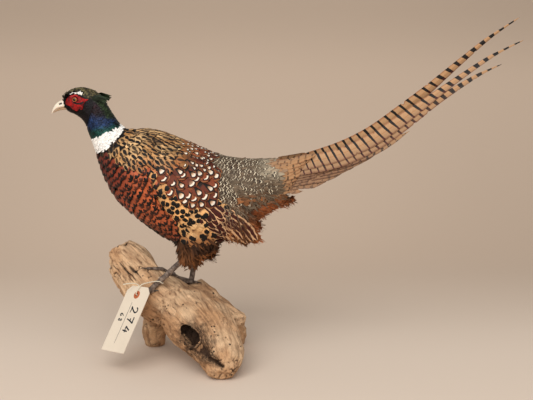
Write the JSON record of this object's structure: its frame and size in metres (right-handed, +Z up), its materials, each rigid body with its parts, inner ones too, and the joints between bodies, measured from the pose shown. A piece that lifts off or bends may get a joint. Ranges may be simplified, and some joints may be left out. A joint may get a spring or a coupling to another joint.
{
  "type": "taxidermy ring-necked pheasant",
  "caption": "Life-size mounted cock pheasant standing on a piece of driftwood, its long tail raised behind it, with a paper tag on a string round the near leg.",
  "frame": {"origin": "on the floor, under the middle of the box of the whole model without the loose string", "axes": "+Z up; +X from the bill towards the tail's tip, so the bird faces -X; +Y towards the bird's right side"},
  "size_m": [0.6924, 0.2046, 0.5128],
  "materials": {
    "crown": "satin",
    "neck": "satin",
    "ring": "matte",
    "breast": "satin",
    "flank": "matte",
    "rump": "matte",
    "wing": "matte",
    "fluff": "matte",
    "tail": "matte",
    "wattle": "matte",
    "eye": "gloss",
    "bill": "satin",
    "leg": "matte",
    "claw": "satin",
    "wood": "matte",
    "card": "matte",
    "eyelet": "matte",
    "string": "matte"
  },
  "bodies": {
    "root": {"head": "crown", "neck": "neck", "neck_ring": "ring", "breast": "breast", "trunk": "flank", "rump": "rump", "bill_upper": "bill", "bill_lower": "bill", "eye_left": "eye", "wattle_left": "wattle", "ear_tuft_left": "neck", "eye_right": "eye", "wattle_right": "wattle", "ear_tuft_right": "neck", "driftwood": "wood", "shank_left": "leg", "foot_left": "leg", "claw_inner_left": "claw", "claw_middle_left": "claw", "claw_outer_left": "claw", "claw_hind_left": "claw", "thigh_left": "fluff", "shank_right": "leg", "foot_right": "leg", "claw_inner_right": "claw", "claw_middle_right": "claw", "claw_outer_right": "claw", "claw_hind_right": "claw", "thigh_right": "fluff", "vent_fluff": "fluff", "undertail_coverts": "fluff", "wing_left": "wing", "wing_right": "wing", "tail_feather_left_1": "tail", "tail_feather_left_2": "tail", "tail_feather_left_3": "tail", "tail_feather_left_4": "tail", "tail_feather_left_5": "tail", "tail_feather_left_6": "tail", "tail_feather_left_7": "tail", "tail_feather_left_8": "tail", "tail_feather_left_9": "tail", "tail_feather_right_1": "tail", "tail_feather_right_2": "tail", "tail_feather_right_3": "tail", "tail_feather_right_4": "tail", "tail_feather_right_5": "tail", "tail_feather_right_6": "tail", "tail_feather_right_7": "tail", "tail_feather_right_8": "tail", "tail_feather_right_9": "tail", "tag": "card", "tag_eyelet": "eyelet", "tag_string": "string"}
  },
  "joints": []
}
